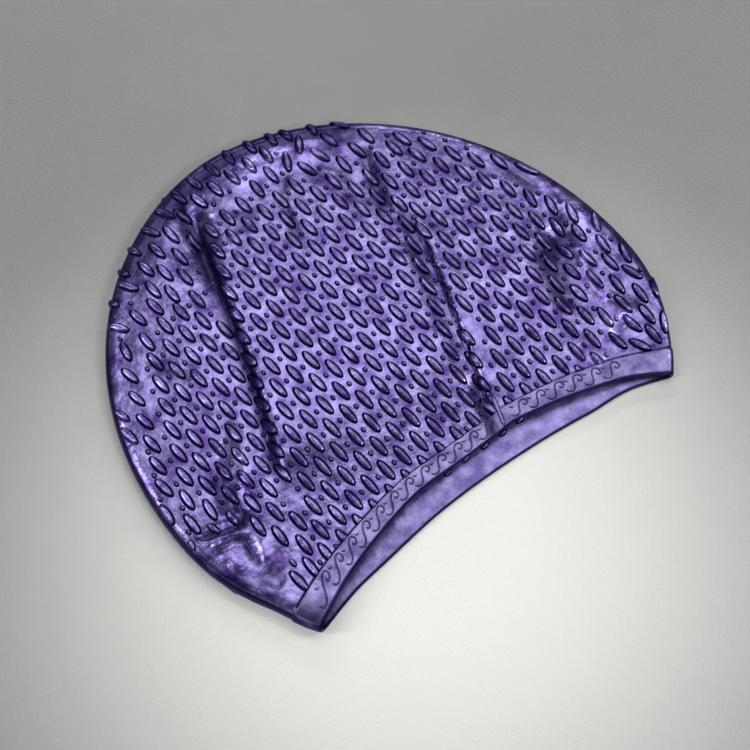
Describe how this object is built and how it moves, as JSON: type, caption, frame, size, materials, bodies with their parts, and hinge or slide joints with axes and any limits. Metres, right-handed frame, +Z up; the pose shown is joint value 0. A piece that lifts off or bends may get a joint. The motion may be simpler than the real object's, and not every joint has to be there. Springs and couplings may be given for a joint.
{
  "type": "swim cap",
  "caption": "Flat-lying moulded rubber swim cap: a domed pocket with rolled sides, soft folds, raised oval pattern and a smooth hem band round its open mouth.",
  "frame": {"origin": "middle of the bounding box in plan, on the surface that the cap lies on", "axes": "+X along the mouth, +Y from the mouth to the crown, +Z up"},
  "size_m": [0.2272, 0.195, 0.013],
  "materials": {
    "cap_rubber": "pearly purple, satin"
  },
  "bodies": {
    "root": {"cap": "cap_rubber"}
  },
  "joints": []
}
